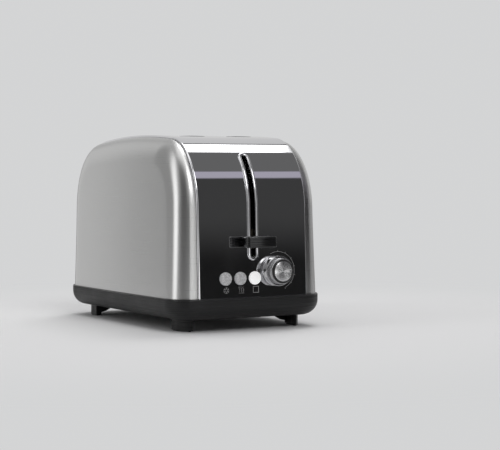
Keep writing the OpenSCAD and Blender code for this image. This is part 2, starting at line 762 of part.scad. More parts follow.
module cord_gland() framed() color("#141414") difference() {
    union() {
        bar_y(gland_x, gland_z, back - 7, back + 4.5, 5.9);
        bar_y(gland_x, gland_z, back, back + 2.5, gland_flange_r);
        bar_y(gland_x, gland_z, gland_clip_y - 3, gland_clip_y, gland_flange_r);
    }
    bar_y(gland_x, gland_z, back - 8, back + 6, gland_bore_r);
}

terminal_y = 100;
lead_r = 1.1;

module terminal_block() framed() color("ivory") difference() {
    block([-50, terminal_y, deck_z], [-30, terminal_y + 12, deck_z + 10]);
    for (x = [-45, -35]) bar_z(x, terminal_y + 6, deck_z + 4, deck_z + 11, 2);
}

// Two internal leads from the terminal block along the left side of the chassis to the board.
// The rear and front bends start at the distances rear and fore along Y.
module lead(x0, x1, x2, rear, fore) {
    z = deck_z + 5.4;
    tube([[x0, terminal_y, z + 0.6], [x0, rear + 7, z + 0.6], [x0 - 2, rear + 4.5, z + 0.6],
        [(x0 + x1) / 2, rear + 1, z], [x1 + 1, rear - 3.5, z], [x1, rear - 10, z], [x1, 40, z], [x1, 0, z],
        [x1, -40, z], [x1, -80, z], [x1, fore + 7, z], [x1 + 1.5, fore, z], [(x1 + x2) / 2, fore - 5, z + 1],
        [x2 - 1, fore - 8, z + 2], [x2, fore - 10.5, z + 4], [x2, board_y + 3.5, z + 5.6],
        [x2, board_y + board_t, z + 5.6]], lead_r);
}
module live_wire() framed() color("saddlebrown") lead(-46, -65.2, -34, 92, -106);
module neutral_wire() framed() color("royalblue") lead(-40, -62.4, -30, 89.5, -102);

// ---- drawing ----

left_shell();
right_shell();
chrome_band();
base();
crumb_tray();
tray_handle();
foot_front_left();
foot_front_right();
foot_rear_left();
foot_rear_right();
foot_pads();
base_screws();
chassis_plate();
front_end_plate();
rear_end_plate();
reflector_left();
reflector_right();
mica_left();
mica_centre();
mica_right();
heating_ribbon_left();
heating_ribbon_centre();
heating_ribbon_right();
guard_left_outer();
guard_left_inner();
guard_right_inner();
guard_right_outer();
guide_rod_left();
guide_rod_right();
rod_bracket();
carriage_slider();
carriage_plate();
bread_rack_left();
bread_rack_right();
lever_arm();
lever_knob();
armature();
return_spring();
magnet_core();
magnet_coil();
magnet_stand();
control_board();
board_brackets();
board_screws();
board_components();
tact_switches();
mains_contacts();
potentiometer();
knob_shaft();
knob_core();
knob_barrel();
knob_cap();
defrost_button();
reheat_button();
cancel_button();
button_guide();
cord_gland();
terminal_block();
live_wire();
neutral_wire();
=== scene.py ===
# A two-slice pop-up toaster: brushed side shells, a polished wrap-around band and a black base.
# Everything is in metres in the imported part's frame: -Y is the lever end, +Z is up.

import json
import math

import bmesh
import bpy
import numpy as np
from mathutils import Matrix, Vector


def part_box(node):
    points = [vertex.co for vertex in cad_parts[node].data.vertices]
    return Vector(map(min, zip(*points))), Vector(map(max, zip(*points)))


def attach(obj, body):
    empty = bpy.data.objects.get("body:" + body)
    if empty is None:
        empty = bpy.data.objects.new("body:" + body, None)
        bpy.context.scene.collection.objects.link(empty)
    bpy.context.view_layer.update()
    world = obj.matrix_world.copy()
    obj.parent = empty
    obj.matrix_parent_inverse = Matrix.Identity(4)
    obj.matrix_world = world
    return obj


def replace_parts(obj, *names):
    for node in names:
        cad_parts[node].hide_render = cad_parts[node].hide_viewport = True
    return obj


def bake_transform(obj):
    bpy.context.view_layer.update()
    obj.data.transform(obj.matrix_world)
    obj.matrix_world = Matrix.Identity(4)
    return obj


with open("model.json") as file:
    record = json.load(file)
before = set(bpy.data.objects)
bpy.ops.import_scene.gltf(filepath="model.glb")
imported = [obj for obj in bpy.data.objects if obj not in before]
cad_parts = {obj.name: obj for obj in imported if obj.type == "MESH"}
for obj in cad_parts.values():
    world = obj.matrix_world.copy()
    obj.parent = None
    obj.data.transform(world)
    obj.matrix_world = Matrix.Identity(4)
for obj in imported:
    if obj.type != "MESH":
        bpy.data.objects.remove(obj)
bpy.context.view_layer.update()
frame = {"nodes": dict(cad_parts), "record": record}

MM = 0.001
TAU = 2 * math.pi


# ---------------------------------------------------------------- sizes taken from the frame

band_lo, band_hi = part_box("chrome_band")
shell_lo, shell_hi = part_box("right_shell")

MID_Y = (band_lo.y + band_hi.y) / 2          # the body's middle along Y
FRONT = band_lo.y                            # the band's front face
HALF_LENGTH = (band_hi.y - band_lo.y) / 2
BAND_HALF = band_hi.x
TOP = band_hi.z
RIM = band_lo.z                              # top of the base's rim, where band and shells stand
SHELL_INNER = shell_lo.x
SHELL_OUTER = shell_hi.x
SHELL_INSET = shell_lo.y - band_lo.y         # the shells stand back this far from the band's outline

CORNER_Y = 60 * MM                           # the big top corners are quarter ellipses
CORNER_Z = 72 * MM
CROWN = math.radians(5.4)                    # half angle of the arc over the top
END_LEAN = 2.2 * MM                          # the end faces lean in this far between foot and corner
SIDE_DRAFT = 3.2 * MM                        # the brushed sides lean in this far between foot and crown
SKIN = 0.8 * MM


# ---------------------------------------------------------------- camera

def look_from(place, yaw, pitch, roll, lens):
    """A camera at place. yaw turns it to the right of +Y, pitch tips it down."""
    forward = Vector((math.sin(yaw) * math.cos(pitch), math.cos(yaw) * math.cos(pitch), -math.sin(pitch)))
    level = Vector((math.cos(yaw), -math.sin(yaw), 0))
    above = level.cross(forward)
    right = math.cos(roll) * level + math.sin(roll) * above
    up = math.cos(roll) * above - math.sin(roll) * level
    data = bpy.data.cameras.new("camera")
    data.sensor_width = 36
    data.lens = lens
    camera = bpy.data.objects.new("camera", data)
    camera.matrix_world = Matrix.Translation(place) @ Matrix((right, up, -forward)).transposed().to_4x4()
    bpy.context.scene.collection.objects.link(camera)
    return camera


camera = look_from((-0.7109, MID_Y - 1.4212, 0.1467), yaw=math.radians(28.91), pitch=math.radians(1.66),
                   roll=math.radians(-0.32), lens=107.1)
bpy.context.scene.camera = camera
bpy.context.scene.view_settings.view_transform = "Standard"


# ---------------------------------------------------------------- node helpers

class Graph:
    """A few short calls for building shader nodes."""

    def __init__(self, tree):
        self.tree = tree
        tree.nodes.clear()

    def node(self, kind, **settings):
        made = self.tree.nodes.new(kind)
        for name, value in settings.items():
            setattr(made, name, value)
        return made

    def put(self, socket, value):
        if isinstance(value, bpy.types.NodeSocket):
            self.tree.links.new(value, socket)
        elif value is not None:
            socket.default_value = value

    def math(self, operation, a, b=None):
        made = self.node("ShaderNodeMath", operation=operation)
        self.put(made.inputs[0], a)
        self.put(made.inputs[1], b)
        return made.outputs[0]

    def ramp(self, value, low, high, to_low=0.0, to_high=1.0):
        made = self.node("ShaderNodeMapRange", interpolation_type="SMOOTHSTEP")
        for socket, given in zip(made.inputs, (value, low, high, to_low, to_high)):
            self.put(socket, given)
        return made.outputs[0]

    def window(self, value, low, high, soft):
        rise = self.ramp(value, low - soft, low + soft)
        fall = self.ramp(value, high - soft, high + soft, 1.0, 0.0)
        return self.math("MULTIPLY", rise, fall)

    def mix(self, factor, a, b):
        made = self.node("ShaderNodeMix", data_type="RGBA")
        self.put(made.inputs["Factor"], factor)
        self.put(made.inputs[6], a)
        self.put(made.inputs[7], b)
        return made.outputs[2]

    def stretched(self, scale):
        """Object coordinates multiplied by scale along each axis."""
        where = self.node("ShaderNodeTexCoord")
        made = self.node("ShaderNodeMapping")
        self.put(made.inputs["Vector"], where.outputs["Object"])
        self.put(made.inputs["Scale"], scale)
        return made.outputs[0]

    def noise(self, scale, detail=2.0, roughness=0.5):
        made = self.node("ShaderNodeTexNoise")
        self.put(made.inputs["Vector"], self.stretched(scale))
        made.inputs["Scale"].default_value = 1.0
        made.inputs["Detail"].default_value = detail
        made.inputs["Roughness"].default_value = roughness
        return made.outputs["Fac"]

    def bump(self, height, strength, distance=0.0005):
        made = self.node("ShaderNodeBump")
        made.inputs["Strength"].default_value = strength
        made.inputs["Distance"].default_value = distance
        self.put(made.inputs["Height"], height)
        return made.outputs[0]


def grey(value, alpha=1.0):
    return (value, value, value, alpha)


def rgb(red, green, blue):
    return (red, green, blue, 1.0)


# ---------------------------------------------------------------- materials

def shader(name, **sockets):
    """A material with one Principled shader; returns the material, its graph and the shader."""
    made = bpy.data.materials.new(name)
    made.use_nodes = True
    graph = Graph(made.node_tree)
    principled = graph.node("ShaderNodeBsdfPrincipled")
    output = graph.node("ShaderNodeOutputMaterial")
    made.node_tree.links.new(principled.outputs[0], output.inputs[0])
    for socket, value in sockets.items():
        principled.inputs[socket.replace("_", " ")].default_value = value
    return made, graph, principled


def brushed_steel(name, tone, streaks, roughness, anisotropy, tangent=None):
    """Sheet steel with fine grinding lines; streaks gives the pattern's scale along X, Y and Z."""
    made, graph, steel = shader(name, Metallic=1.0, Anisotropic=anisotropy)
    fine = graph.noise(streaks, 4.0, 0.7)
    broad = graph.noise((9.0, 9.0, 14.0), 3.0)
    shade = graph.mix(graph.ramp(fine, 0.3, 0.7), rgb(*[c * 0.98 for c in tone]), rgb(*tone))
    shade = graph.mix(graph.ramp(broad, 0.35, 0.7), shade, rgb(*[c * 0.97 for c in tone]))
    graph.put(steel.inputs["Base Color"], shade)
    graph.put(steel.inputs["Roughness"], graph.ramp(fine, 0.2, 0.8, roughness * 0.97, roughness * 1.03))
    graph.put(steel.inputs["Normal"], graph.bump(fine, 0.008, 0.0002))
    if tangent:
        along = graph.node("ShaderNodeCombineXYZ")
        for socket, value in zip(along.inputs, tangent):
            socket.default_value = value
        graph.put(steel.inputs["Tangent"], along.outputs[0])
    return made


def polished_steel(name, tone, roughness=0.03):
    """Mirror polish with the faint waviness and wipe marks of a pressed sheet."""
    made, graph, steel = shader(name, Metallic=1.0, Base_Color=rgb(*tone))
    wipe = graph.noise((30.0, 30.0, 9.0), 5.0, 0.6)
    graph.put(steel.inputs["Roughness"], graph.ramp(wipe, 0.35, 0.8, roughness, roughness * 2.2))
    graph.put(steel.inputs["Normal"], graph.bump(graph.noise((16.0, 16.0, 11.0), 1.0), 0.035, 0.002))
    return made


def moulded(name, tone, roughness, grain=2600.0, depth=0.25, ridges=0.0, **sockets):
    """Moulded plastic with a fine spark-eroded grain and, if ridges is given, lines that far apart."""
    made, graph, plastic = shader(name, **sockets)
    speck = graph.noise((grain, grain, grain), 2.0)
    cloud = graph.noise((35.0, 35.0, 35.0), 3.0)
    shade = graph.mix(graph.ramp(cloud, 0.3, 0.7), rgb(*[c * 0.85 for c in tone]), rgb(*tone))
    graph.put(plastic.inputs["Base Color"], shade)
    graph.put(plastic.inputs["Roughness"], graph.ramp(cloud, 0.3, 0.7, roughness * 0.9, roughness * 1.1))
    normal = graph.bump(speck, depth, 0.0001)
    if ridges:
        where = graph.node("ShaderNodeSeparateXYZ")
        graph.put(where.inputs[0], graph.stretched((1.0, 1.0, 1.0)))
        wave = graph.math("SINE", graph.math("MULTIPLY", where.outputs[2], TAU / ridges))
        lines = graph.bump(graph.ramp(wave, 0.55, 1.0), 0.6, 0.0004)
        graph.put(lines.node.inputs["Normal"], normal)
        normal = lines
    graph.put(plastic.inputs["Normal"], normal)
    return made


def metallic_paint(name, tone, roughness):
    """Silver paint with the sparkle of its metal flakes."""
    made, graph, paint = shader(name, Metallic=0.35, Coat_Weight=0.2, Coat_Roughness=0.3)
    flakes = graph.noise((850.0, 850.0, 850.0), 3.0, 0.7)
    shade = graph.mix(graph.ramp(flakes, 0.38, 0.64), rgb(*[c * 0.6 for c in tone]), rgb(*tone))
    graph.put(paint.inputs["Base Color"], shade)
    graph.put(paint.inputs["Roughness"], graph.ramp(flakes, 0.3, 0.7, roughness * 0.8, roughness * 1.2))
    graph.put(paint.inputs["Normal"], graph.bump(flakes, 0.15, 0.0001))
    return made


def spun_metal(name, tone, roughness):
    """Turned metal: its grooves are circles round the piece's own Y axis."""
    made, graph, metal = shader(name, Metallic=1.0, Anisotropic=0.98, Anisotropic_Rotation=0.25)
    tangent = graph.node("ShaderNodeTangent", direction_type="RADIAL", axis="Y")
    graph.put(metal.inputs["Tangent"], tangent.outputs[0])
    where = graph.node("ShaderNodeTexCoord")
    rings = graph.node("ShaderNodeTexWave", wave_type="RINGS", rings_direction="Y")
    graph.put(rings.inputs["Vector"], where.outputs["Object"])
    rings.inputs["Scale"].default_value = 700.0
    rings.inputs["Distortion"].default_value = 1.5
    graph.put(metal.inputs["Base Color"], graph.mix(rings.outputs["Fac"], rgb(*[c * 0.85 for c in tone]),
                                                    rgb(*tone)))
    graph.put(metal.inputs["Roughness"], graph.ramp(rings.outputs["Fac"], 0.0, 1.0, roughness * 0.9,
                                                    roughness * 1.1))
    return made


UP = (0.0, 0.0, 1.0)
MATERIALS = {
    "brushed_shell": brushed_steel("brushed_shell", (0.63, 0.63, 0.625), (10, 10, 2600), 0.28, 0.85, UP),
    "polished_band": polished_steel("polished_band", (0.80, 0.80, 0.82)),
    # The knob's chrome has a much darker tone than the band's: painted shade standing in for the dark panel
    # and surroundings the knob reflects.
    "knob_chrome": polished_steel("knob_chrome", (0.44, 0.44, 0.45), 0.05),
    "black_base": moulded("black_base", (0.011, 0.011, 0.0115), 0.45, ridges=4 * MM, Specular_IOR_Level=0.32),
    "black_gloss": moulded("black_gloss", (0.008, 0.008, 0.0085), 0.3, depth=0.03, Coat_Weight=0.25,
                           Coat_Roughness=0.15),
    "pad_rubber": moulded("pad_rubber", (0.025, 0.025, 0.025), 0.8, 900.0, 0.5),
    "zinc_screw": brushed_steel("zinc_screw", (0.55, 0.56, 0.58), (400, 400, 400), 0.3, 0.0),
    "sheet_steel": brushed_steel("sheet_steel", (0.56, 0.57, 0.58), (60, 60, 60), 0.38, 0.0),
    "bright_aluminium": brushed_steel("bright_aluminium", (0.75, 0.75, 0.76), (20, 20, 600), 0.25, 0.4, UP),
    "mica": moulded("mica", (0.42, 0.35, 0.24), 0.5, 400.0, 0.4),
    "ribbon": brushed_steel("ribbon", (0.22, 0.19, 0.18), (50, 50, 900), 0.5, 0.0),
    "steel_wire": brushed_steel("steel_wire", (0.62, 0.62, 0.63), (200, 200, 200), 0.22, 0.0),
    "ivory_nylon": moulded("ivory_nylon", (0.74, 0.70, 0.60), 0.5),
    "coil_copper": brushed_steel("coil_copper", (0.55, 0.22, 0.10), (8, 8, 2500), 0.35, 0.0),
    "board_green": moulded("board_green", (0.02, 0.12, 0.05), 0.35, 500.0, 0.3),
    "component_dark": moulded("component_dark", (0.03, 0.03, 0.034), 0.5),
    "contact_brass": brushed_steel("contact_brass", (0.72, 0.53, 0.22), (90, 90, 600), 0.3, 0.0),
    "spun_steel": spun_metal("spun_steel", (0.95, 0.95, 0.96), 0.24),
    "button_silver": metallic_paint("button_silver", (0.74, 0.74, 0.75), 0.5),
    # The cancel button is white moulding with a faint emission: the glow is painted light, standing in for
    # the bright highlight on the button.
    "button_white": moulded("button_white", (0.90, 0.90, 0.90), 0.35, 900.0, 0.15, Emission_Strength=0.35,
                            Emission_Color=rgb(1.0, 1.0, 1.0)),
    "lead_brown": moulded("lead_brown", (0.16, 0.06, 0.03), 0.45),
    "lead_blue": moulded("lead_blue", (0.03, 0.10, 0.36), 0.45),
    "print_grey": moulded("print_grey", (0.40, 0.40, 0.40), 0.7),
}

for row in frame["record"]["subparts"]:
    mesh = frame["nodes"][row["node"]].data
    mesh.materials.clear()
    mesh.materials.append(MATERIALS[row["material_slot"]])


# ---------------------------------------------------------------- mesh helpers

def new_piece(name, points, faces, material, body="housing", smooth=True):
    """A mesh piece that rides on a body, if one is named, and takes its finish from a material slot."""
    mesh = bpy.data.meshes.new(name)
    mesh.from_pydata([tuple(p) for p in points], [], faces)
    mesh.validate()
    made = bpy.data.objects.new(name, mesh)
    bpy.context.scene.collection.objects.link(made)
    mesh.materials.append(MATERIALS[material])
    mesh.polygons.foreach_set("use_smooth", [smooth] * len(mesh.polygons))
    tidy_normals(made)
    if body:
        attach(made, body)
    return made


def tidy_normals(made):
    work = bmesh.new()
    work.from_mesh(made.data)
    bmesh.ops.recalc_face_normals(work, faces=work.faces)
    work.to_mesh(made.data)
    work.free()


def crease(made, angle=35):
    """Keeps edges sharper than angle degrees sharp and shades the rest smoothly."""
    made.data.set_sharp_from_angle(angle=math.radians(angle))
    return made


def grid_faces(rows, columns, wrap_rows=False, wrap_columns=False):
    faces = []
    for r in range(rows if wrap_rows else rows - 1):
        for c in range(columns if wrap_columns else columns - 1):
            r1, c1 = (r + 1) % rows, (c + 1) % columns
            faces.append((r * columns + c, r * columns + c1, r1 * columns + c1, r1 * columns + c))
    return faces


def lathe_y(name, profile, x, z, material, body, steps=96):
    """Turns a profile of (radius, y) points round the line along Y through x and z."""
    points = []
    for radius, y in profile:
        for k in range(steps):
            a = TAU * k / steps
            points.append((radius * math.sin(a), y, radius * math.cos(a)))
    faces = grid_faces(len(profile), steps, wrap_columns=True)
    faces.append(tuple(range(steps)))
    faces.append(tuple(range(len(points) - steps, len(points))))
    made = new_piece(name, points, faces, material, body)
    made.location = (x, 0, z)
    return crease(made, 50)


def arc(centre, radius, start, end, steps):
    """Points on an arc, angles in degrees."""
    return [(centre[0] + radius * math.cos(math.radians(start + (end - start) * i / steps)),
             centre[1] + radius * math.sin(math.radians(start + (end - start) * i / steps)))
            for i in range(steps + 1)]


def apply_modifiers(made):
    depsgraph = bpy.context.evaluated_depsgraph_get()
    mesh = bpy.data.meshes.new_from_object(made.evaluated_get(depsgraph))
    old = made.data
    made.modifiers.clear()
    made.data = mesh
    bpy.data.meshes.remove(old)


# ---------------------------------------------------------------- the body's outline

corner_mid = HALF_LENGTH - END_LEAN - CORNER_Y
corner_end = math.atan2(CORNER_Z, CORNER_Y * math.tan(CROWN))
crown_radius = (corner_mid + CORNER_Y * math.cos(corner_end)) / math.sin(CROWN)
corner_z = TOP - crown_radius * (1 - math.cos(CROWN)) - CORNER_Z * math.sin(corner_end)
end_slope = math.atan2(END_LEAN, corner_z - RIM)


def end_at(z):
    """Distance of an end face from the body's middle at height z, below the corner."""
    return HALF_LENGTH - END_LEAN * (z - RIM) / (corner_z - RIM)


def corner_normal(y, z):
    """Outward normal (y, z) on a big corner, for y and z measured from the corner's middle."""
    n = Vector((y / CORNER_Y ** 2, z / CORNER_Z ** 2)).normalized()
    return n if n.y > math.sin(end_slope) else Vector((math.cos(end_slope), math.sin(end_slope)))


def outline(corner_steps=72, crown_steps=48, leg_steps=10):
    """Points (y, z) with outward normals, from the front foot over the top to the back foot."""
    half = []
    for i in range(leg_steps):
        z = RIM + (corner_z - RIM) * i / leg_steps
        half.append(((-end_at(z), z), (-math.cos(end_slope), math.sin(end_slope))))
    for i in range(corner_steps + 1):
        a = corner_end * i / corner_steps
        y, z = CORNER_Y * math.cos(a), CORNER_Z * math.sin(a)
        n = corner_normal(y, z)
        half.append(((-(corner_mid + y), corner_z + z), (-n.x, n.y)))
    for i in range(1, crown_steps // 2 + 1):
        a = CROWN * (2 * i / crown_steps - 1)
        half.append(((crown_radius * math.sin(a), TOP - crown_radius * (1 - math.cos(a))),
                     (math.sin(a), math.cos(a))))
    mirrored = [((-p[0], p[1]), (-n[0], n[1])) for p, n in reversed(half[:-1])]
    return half + mirrored


def surface(y, z):
    """Outward normal of the outline at a point given in the body's own middle frame."""
    side = -1.0 if y < 0 else 1.0
    if z <= corner_z:
        return Vector((0, side * math.cos(end_slope), math.sin(end_slope)))
    if abs(y) > corner_mid + CORNER_Y * math.cos(corner_end):
        n = corner_normal(abs(y) - corner_mid, z - corner_z)
        return Vector((0, side * n.x, n.y))
    return Vector((0, y, z - TOP + crown_radius)).normalized()


def crown_height(y):
    """Height of the band's top at y, measured from the body's middle."""
    return TOP - crown_radius + math.sqrt(crown_radius ** 2 - y ** 2)


def front_at(z):
    """Place and outward normal of the band's front at height z."""
    if z <= corner_z:
        y = -end_at(z)
    else:
        y = -(corner_mid + CORNER_Y * math.sqrt(1 - ((z - corner_z) / CORNER_Z) ** 2))
    return MID_Y + y, surface(y, z)


# ---------------------------------------------------------------- brushed side shells

SHELL_ROLL = 26 * MM        # width of the shells' rounded edge, measured in from the outline
ROLL_STEPS = 32
BULGE = 1.6 * MM            # how much further out a side's middle stands than its two ends


def side_shell(name, node, side):
    """A pillow shaped pressing: a rounded edge that follows the outline, and a softly bulging side."""
    path = outline(72, 40, 14)
    count = len(path)
    deep = SHELL_OUTER - SHELL_INNER

    def place(y, z, roll):
        draft = SIDE_DRAFT * (1 - ((TOP - z) / (TOP - RIM)) ** 2)
        bulge = BULGE * (y / HALF_LENGTH) ** 2
        return (side * (SHELL_INNER + (deep - draft - bulge) * roll), MID_Y + y, z)

    points = []
    for k in range(ROLL_STEPS + 1):
        a = math.radians(90 * k / ROLL_STEPS)
        inset = SHELL_INSET + SHELL_ROLL * (1 - math.cos(a))
        points += [place(y - inset * ny, z - inset * nz, math.sin(a)) for (y, z), (ny, nz) in path]
    faces = grid_faces(ROLL_STEPS + 1, count)
    edge = ROLL_STEPS * count
    columns = 24
    rows = []
    for i in range(count // 2):
        start, stop = points[edge + i], points[edge + count - 1 - i]
        row = [edge + i]
        for k in range(1, columns):
            t = k / columns
            row.append(len(points))
            points.append(place(start[1] + (stop[1] - start[1]) * t - MID_Y, start[2], 1.0))
        rows.append(row + [edge + count - 1 - i])
    for low, high in zip(rows, rows[1:]):
        faces += [(low[k], low[k + 1], high[k + 1], high[k]) for k in range(columns)]
    faces.append(tuple(rows[-1]) + (edge + count // 2,))
    made = new_piece(name, points, faces, "brushed_shell")
    thick = made.modifiers.new("thick", "SOLIDIFY")
    thick.thickness = SKIN
    thick.offset = -1
    apply_modifiers(made)
    crease(made, 50)
    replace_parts(made, node)


side_shell("side_shell_left", "left_shell", -1)
side_shell("side_shell_right", "right_shell", 1)


# ---------------------------------------------------------------- polished band

EDGE = 1.6 * MM             # radius of the band's rolled edges
EDGE_DEEP = 5 * MM          # how far the rolled edges reach in
SLOT_W = 5.4 * MM           # width of the lever slot
LEVER_Z = (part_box("lever_knob")[0].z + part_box("lever_knob")[1].z) / 2
SLOT_LOW = LEVER_Z - 15.3 * MM
SLOT_HIGH = 173 * MM

bread_slots = [opening["box_m"] for opening in frame["record"]["physics"]["openings"]
               if opening["name"].endswith("bread_slot")]
SLOT_MARGIN = Vector((1.5 * MM, 2 * MM))    # a bread slot's edge stands this far outside the stated space
LIP = 1.2 * MM              # radius of the folded edge round a bread slot


def cutter(name, outline_2d, place, low, high):
    """A prism for cutting: place turns an outline point and a depth into a point in space."""
    points = [place(u, v, low) for u, v in outline_2d] + [place(u, v, high) for u, v in outline_2d]
    n = len(outline_2d)
    faces = [(i, (i + 1) % n, n + (i + 1) % n, n + i) for i in range(n)]
    faces += [tuple(range(n)), tuple(range(n, 2 * n))]
    mesh = bpy.data.meshes.new(name)
    mesh.from_pydata([tuple(p) for p in points], [], faces)
    made = bpy.data.objects.new(name, mesh)
    bpy.context.scene.collection.objects.link(made)
    tidy_normals(made)
    return made


def stadium(width, low, high, steps=24):
    r = width / 2
    return arc((0, low + r), r, 180, 360, steps) + arc((0, high - r), r, 0, 180, steps)


def rounded_rect(lo, hi, r, steps=10):
    centres = [(hi[0] - r, hi[1] - r), (lo[0] + r, hi[1] - r), (lo[0] + r, lo[1] + r), (hi[0] - r, lo[1] + r)]
    points = []
    for quarter, centre in enumerate(centres):
        points += arc(centre, r, 90 * quarter, 90 * (quarter + 1), steps)
    return points


def slot_corners(box, grow=0.0):
    lo, hi = box
    across, along = SLOT_MARGIN.x + grow, SLOT_MARGIN.y + grow
    return (lo[0] - across, lo[1] - along), (hi[0] + across, hi[1] + along)


def centre_of(node):
    lo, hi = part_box(node)
    return (lo + hi) / 2


BUTTON_NODES = ["defrost_button", "reheat_button", "cancel_button"]
BUTTON_R = 6.45 * MM
knob_mid = centre_of("knob_core")
gland_mid = centre_of("cord_gland")


def band_section():
    """Closed section of the band as (x, depth) points; depth 0 is the outer surface."""
    right = [(BAND_HALF, -EDGE_DEEP)]
    right += [(BAND_HALF - EDGE + u, v - EDGE) for u, v in arc((0, 0), EDGE, 0, 90, 8)]
    outer = right + [(-x, d) for x, d in reversed(right)]
    inner_x = BAND_HALF - SKIN
    return outer + [(-inner_x, -EDGE_DEEP), (-inner_x, -SKIN - EDGE * 0.6), (-inner_x + EDGE * 0.6, -SKIN),
                    (inner_x - EDGE * 0.6, -SKIN), (inner_x, -SKIN - EDGE * 0.6), (inner_x, -EDGE_DEEP)]


def wrap_band():
    section = band_section()
    path = outline(96, 60, 6)
    points = [(x, MID_Y + y + d * ny, z + d * nz) for (y, z), (ny, nz) in path for x, d in section]
    faces = grid_faces(len(path), len(section), wrap_columns=True)
    faces.append(tuple(range(len(section))))
    faces.append(tuple(range(len(points) - len(section), len(points))))
    made = new_piece("wrap_band", points, faces, "polished_band", smooth=False)
    cutters = [cutter("cut_lever", stadium(SLOT_W, SLOT_LOW, SLOT_HIGH),
                      lambda u, v, w: (u, w, v), FRONT - 0.005, FRONT + 0.055)]
    for box in bread_slots:
        lo, hi = slot_corners(box, LIP)
        cutters.append(cutter("cut_bread", rounded_rect(lo, hi, 5 * MM + LIP), lambda u, v, w: (u, v, w),
                              TOP - 0.03, TOP + 0.01))
    holes = [(centre_of(n), BUTTON_R + 0.2 * MM, FRONT) for n in BUTTON_NODES]
    holes += [(knob_mid, 4.5 * MM, FRONT), (gland_mid, 6 * MM, band_hi.y)]
    for middle, radius, y in holes:
        cutters.append(cutter("cut_hole", arc((middle.x, middle.z), radius, 0, 360, 64)[:-1],
                              lambda u, v, w: (u, w, v), y - 0.004, y + 0.004))
    for tool in cutters:
        cut = made.modifiers.new("cut", "BOOLEAN")
        cut.operation = "DIFFERENCE"
        cut.solver = "EXACT"
        cut.object = tool
    apply_modifiers(made)
    for tool in cutters:
        bpy.data.objects.remove(tool)
    shade_like_surface(made)
    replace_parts(made, "chrome_band")


def shade_like_surface(made):
    """Gives the band's outer skin the exact normals of its curve, so that reflections run true."""
    mesh = made.data
    flat = BAND_HALF - EDGE
    normals = [None] * len(mesh.loops)
    for polygon in mesh.polygons:
        middle = polygon.center
        base = surface(middle.y - MID_Y, middle.z)
        over = max(0.0, abs(middle.x) - flat)
        outward = polygon.normal.dot(base) > 0.9 or (over > 0 and polygon.normal.dot(base) > 0.02)
        for index in polygon.loop_indices:
            normals[index] = polygon.normal.copy()
            if outward:
                at = mesh.vertices[mesh.loops[index].vertex_index].co
                lean = min(1.0, max(0.0, abs(at.x) - flat) / EDGE)
                way = surface(at.y - MID_Y, at.z)
                normals[index] = (way * math.sqrt(1 - lean * lean)
                                  + Vector((math.copysign(lean, at.x), 0, 0))).normalized()
    mesh.polygons.foreach_set("use_smooth", [True] * len(mesh.polygons))
    mesh.normals_split_custom_set(normals)


wrap_band()


def sweep_loop(name, path, section, material, closed_section=False):
    """Sweeps (across, out) points round a closed path of (place, across, out) frames."""
    points = [place + across * a + out * o for place, across, out in path for a, o in section]
    faces = grid_faces(len(path), len(section), wrap_rows=True, wrap_columns=closed_section)
    return new_piece(name, points, faces, material)


RIM_W = 3.3 * MM            # width of the rim round the lever slot
RIM_PROUD = 1.5 * MM


def lever_slot_rim():
    """The turned-out rim round the lever slot, which follows the band's curve."""
    low, high, r = SLOT_LOW + SLOT_W / 2, SLOT_HIGH - SLOT_W / 2, SLOT_W / 2
    steps, side_steps = 28, 60
    flat_path = [(at, 180 + 180 * i / steps) for i, at in enumerate(arc((0, low), r, 180, 360, steps))]
    flat_path += [((r, low + (high - low) * i / side_steps), 0) for i in range(1, side_steps)]
    flat_path += [(at, 180 * i / steps) for i, at in enumerate(arc((0, high), r, 0, 180, steps))]
    flat_path += [((-r, high + (low - high) * i / side_steps), 180) for i in range(1, side_steps)]
    path = []
    for (x, z), angle in flat_path:
        y, out = front_at(z)
        a = math.radians(angle)
        across = Vector((math.cos(a), 0, math.sin(a)))
        across = (across - out * across.dot(out)).normalized()
        path.append((Vector((x, y, z)), across, out))
    section = [(0.0, -4 * MM)]
    section += [(RIM_W * (1 - math.cos(t)) / 2, RIM_PROUD * math.sin(t) ** 0.8)
                for t in np.linspace(0, math.pi, 21)]
    section += [(RIM_W, -0.3 * MM)]
    crease(sweep_loop("lever_slot_rim", path, section, "polished_band"), 60)


lever_slot_rim()


def bread_slot_collar(name, box):
    """The folded edge of a bread slot: a round lip that turns down into a short wall."""
    lo, hi = slot_corners(box)
    path = []
    corners = rounded_rect(lo, hi, 5 * MM, 12)
    for i, (x, y) in enumerate(corners):
        before, after = Vector(corners[i - 1]), Vector(corners[(i + 1) % len(corners)])
        along = (after - before).normalized()
        across = Vector((along.y, -along.x, 0))
        path.append((Vector((x, y, crown_height(y - MID_Y))), across, Vector((0, 0, 1))))
    depth = -9 * MM
    section = [(0.0, depth)] + [(LIP - u, v - LIP) for u, v in arc((0, 0), LIP, 0, 90, 8)]
    section += [(LIP, -SKIN)] + [(LIP - u, v - LIP) for u, v in arc((0, 0), LIP - SKIN, 90, 0, 4)]
    section += [(SKIN, depth)]
    crease(sweep_loop(name, path, section, "polished_band", closed_section=True), 50)


for name, box in zip(("bread_slot_collar_left", "bread_slot_collar_right"), bread_slots):
    bread_slot_collar(name, box)


# ---------------------------------------------------------------- base

BEAD = 0.6 * MM


def base_rim_bead():
    """The small bead round the top of the base's rim, which catches the light."""
    lo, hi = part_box("base")
    radius = 30 * MM - BEAD
    corners = rounded_rect((lo.x + BEAD, lo.y + BEAD), (hi.x - BEAD, hi.y - BEAD), radius, 16)
    path = []
    for i, (x, y) in enumerate(corners):
        along = (Vector(corners[(i + 1) % len(corners)]) - Vector(corners[i - 1])).normalized()
        path.append((Vector((x, y, hi.z)), Vector((along.y, -along.x, 0)), Vector((0, 0, 1))))
    section = arc((0, -0.2 * MM), BEAD, 0, 360, 14)[:-1]
    sweep_loop("base_rim_bead", path, section, "black_gloss", closed_section=True)


base_rim_bead()


# ---------------------------------------------------------------- thumb lever

